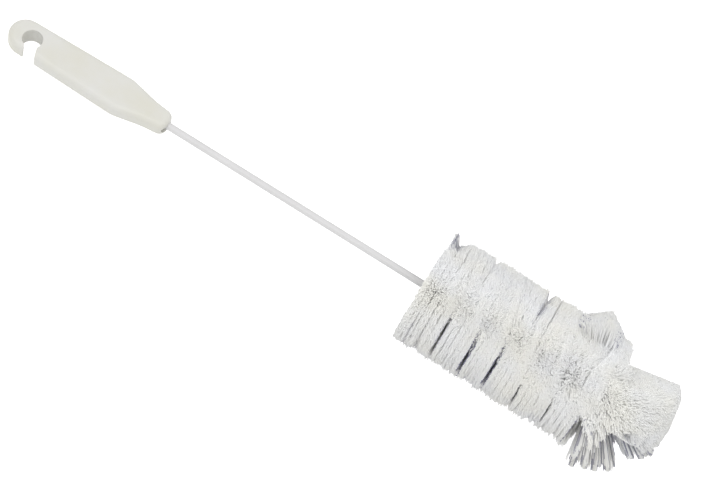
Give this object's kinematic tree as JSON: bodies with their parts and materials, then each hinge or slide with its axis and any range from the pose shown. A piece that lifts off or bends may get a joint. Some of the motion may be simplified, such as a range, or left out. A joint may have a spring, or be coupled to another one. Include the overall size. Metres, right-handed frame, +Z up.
{
  "type": "bottle brush",
  "caption": "Bottle brush with a flat moulded hook handle, a thin coated stem and a cylinder of white bristles held in twisted wire, ending in a splayed fan.",
  "frame": {"origin": "middle of the footprint, on the surface that the brush lies on", "axes": "+X along the brush from the hook to the fan, +Z up; the hook's mouth faces -Y"},
  "size_m": [0.3992, 0.0752, 0.0718],
  "materials": {
    "handle_plastic": "satin",
    "sleeve_plastic": "satin",
    "wire_steel": "satin",
    "bristle_fibre": "matte"
  },
  "bodies": {
    "root": {"handle": "handle_plastic", "stem_sleeve": "sleeve_plastic", "twisted_wire": "wire_steel", "bristle_row_1": "bristle_fibre", "bristle_row_2": "bristle_fibre", "bristle_row_3": "bristle_fibre", "bristle_row_4": "bristle_fibre", "bristle_row_5": "bristle_fibre", "bristle_row_6": "bristle_fibre", "tip_fan": "bristle_fibre"}
  },
  "joints": []
}
